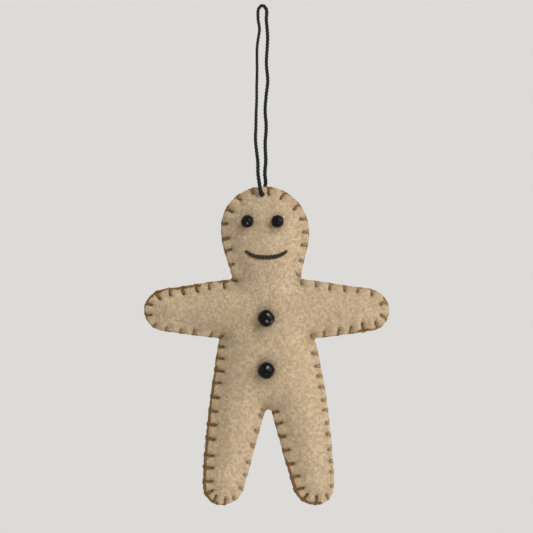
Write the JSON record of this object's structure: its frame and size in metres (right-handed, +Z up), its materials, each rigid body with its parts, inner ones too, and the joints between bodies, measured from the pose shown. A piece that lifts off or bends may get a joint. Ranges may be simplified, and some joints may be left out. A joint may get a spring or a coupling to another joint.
{
  "type": "felt christmas ornament",
  "caption": "Stuffed felt gingerbread figure with a blanket-stitched edge, glass bead eyes and buttons, a stitched smile and a cord loop to hang it by.",
  "frame": {"origin": "top of the hanging cord's loop, on the cord's centreline, where a hook or twig holds it", "axes": "+Z up along the hanging cord, -Y out of the figure's front, +X to the viewer's right"},
  "size_m": [0.0859, 0.0189, 0.1756],
  "materials": {
    "felt": "beige wool felt, matt and slightly fuzzy, mottled with lighter and darker fibres",
    "stuffing": "off-white loose fibre fill",
    "stitch_thread": "dark brown stranded embroidery thread, matt",
    "smile_thread": "near black embroidery thread, matt",
    "bead_glass": "opaque black faceted glass, polished",
    "bead_thread": "black sewing thread",
    "cord": "black twisted cotton cord, matt"
  },
  "bodies": {
    "hanger": {"hanging_cord": "cord", "cord_knot": "cord"},
    "figure": {"front_felt_panel": "felt", "back_felt_panel": "felt", "head_stuffing": "stuffing", "torso_stuffing": "stuffing", "left_arm_stuffing": "stuffing", "right_arm_stuffing": "stuffing", "left_leg_stuffing": "stuffing", "right_leg_stuffing": "stuffing", "blanket_stitch_thread": "stitch_thread", "smile_thread": "smile_thread", "left_eye_thread": "bead_thread", "right_eye_thread": "bead_thread", "upper_button_thread": "bead_thread", "lower_button_thread": "bead_thread"},
    "left_eye": {"left_eye_bead": "bead_glass"},
    "right_eye": {"right_eye_bead": "bead_glass"},
    "upper_button": {"upper_button_bead": "bead_glass"},
    "lower_button": {"lower_button_bead": "bead_glass"}
  },
  "joints": [
    {"name": "figure_swing", "type": "hinge", "parent": "hanger", "child": "figure", "pos_m": [0, 0, -0.0663], "axis": [0, 1, 0], "range_deg": [-90, 90]},
    {"name": "left_eye_spin", "type": "hinge", "parent": "figure", "child": "left_eye", "pos_m": [-0.00523, -0.00653, -0.07571], "axis": [0.9819, -0.1882, 0.0221], "continuous": true},
    {"name": "right_eye_spin", "type": "hinge", "parent": "figure", "child": "right_eye", "pos_m": [0.00524, -0.00671, -0.0757], "axis": [0.9886, 0.1498, -0.0176], "continuous": true},
    {"name": "upper_button_spin", "type": "hinge", "parent": "figure", "child": "upper_button", "pos_m": [0.00135, -0.00823, -0.1092], "axis": [0.7071, -0.0016, 0.7071], "continuous": true},
    {"name": "lower_button_spin", "type": "hinge", "parent": "figure", "child": "lower_button", "pos_m": [0.00133, -0.00794, -0.12721], "axis": [0.7672, 0.0448, -0.6399], "continuous": true}
  ]
}
